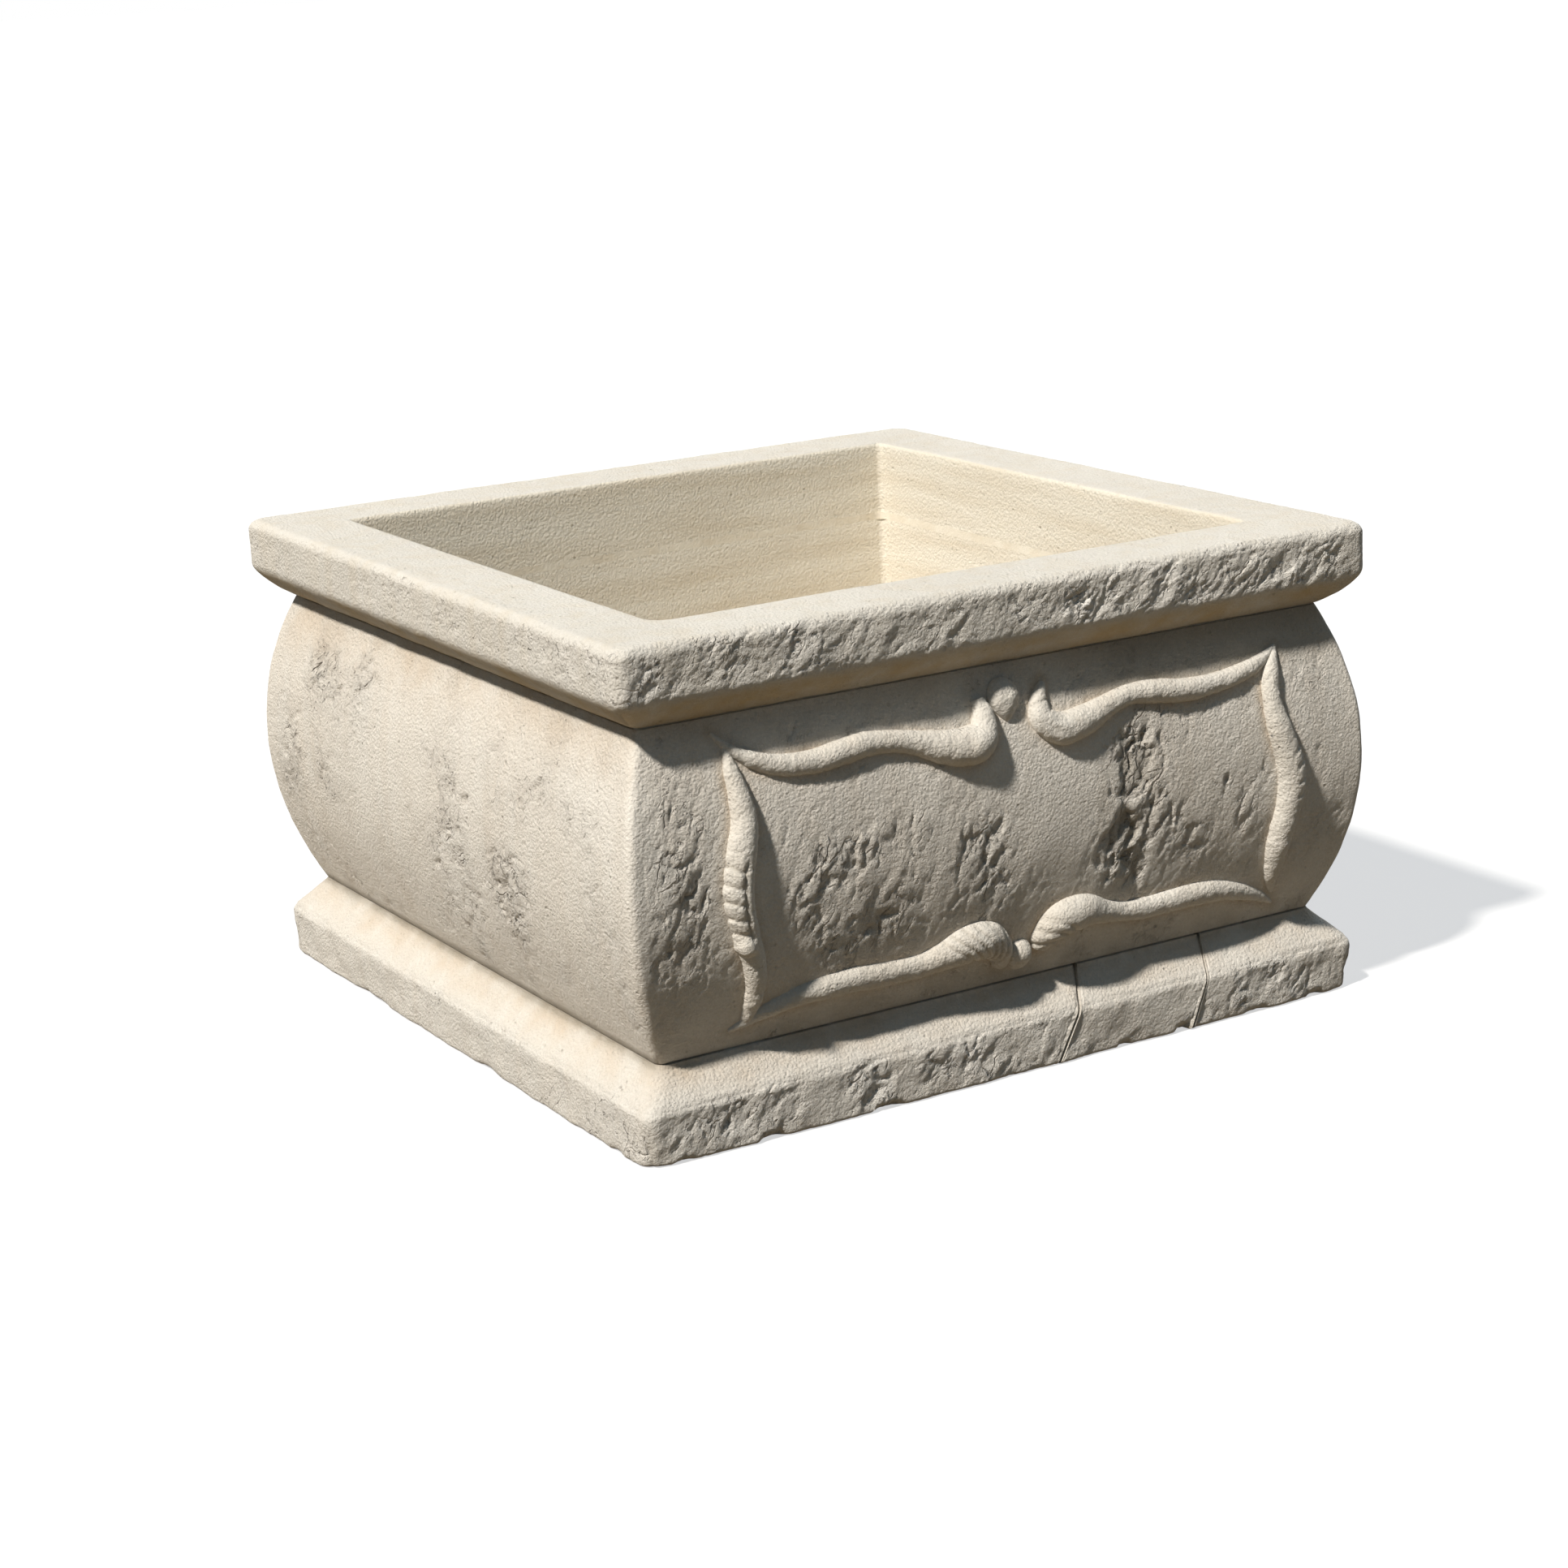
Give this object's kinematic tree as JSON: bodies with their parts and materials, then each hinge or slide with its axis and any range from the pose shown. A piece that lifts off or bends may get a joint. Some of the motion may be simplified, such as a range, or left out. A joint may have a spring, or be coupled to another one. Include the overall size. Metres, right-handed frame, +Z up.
{
  "type": "square stone planter",
  "caption": "Square cast-stone planter with a bowed hollow belly, an overhanging rough rim, a flagstone plinth and applied scrolls framing the front and back.",
  "frame": {"origin": "on the ground under the middle of the planter", "axes": "+Z up, -Y out of the front face with the scrolls, +X to the right as seen from the front"},
  "size_m": [0.61, 0.6292, 0.35],
  "materials": {
    "cast_stone": "rough, pitted and weathered",
    "rim_stone": "smooth top, tooled faces",
    "scroll_stone": "rubbed smooth",
    "flagstone": "rough, with worn edges",
    "mortar": "raked back, rough",
    "dowel_steel": "drawn stainless bar",
    "drain_plastic": "matte grey pipe"
  },
  "bodies": {
    "root": {"back_bead": "scroll_stone", "back_bottom_left_scroll": "scroll_stone", "back_bottom_right_scroll": "scroll_stone", "back_drop": "scroll_stone", "back_side_left_scroll": "scroll_stone", "back_side_right_scroll": "scroll_stone", "back_top_left_scroll": "scroll_stone", "back_top_right_scroll": "scroll_stone", "belly": "cast_stone", "belly_bed_mortar": "mortar", "coping_bed_mortar": "mortar", "coping_dowels": "dowel_steel", "drain_pipe": "drain_plastic", "front_bead": "scroll_stone", "front_bottom_left_scroll": "scroll_stone", "front_bottom_right_scroll": "scroll_stone", "front_drop": "scroll_stone", "front_side_left_scroll": "scroll_stone", "front_side_right_scroll": "scroll_stone", "front_top_left_scroll": "scroll_stone", "front_top_right_scroll": "scroll_stone", "ornament_pins": "dowel_steel", "plinth_dowels": "dowel_steel", "plinth_joint_mortar": "mortar", "plinth_slab_left": "flagstone", "plinth_slab_middle": "flagstone", "plinth_slab_right": "flagstone", "rim_coping": "rim_stone"}
  },
  "joints": []
}
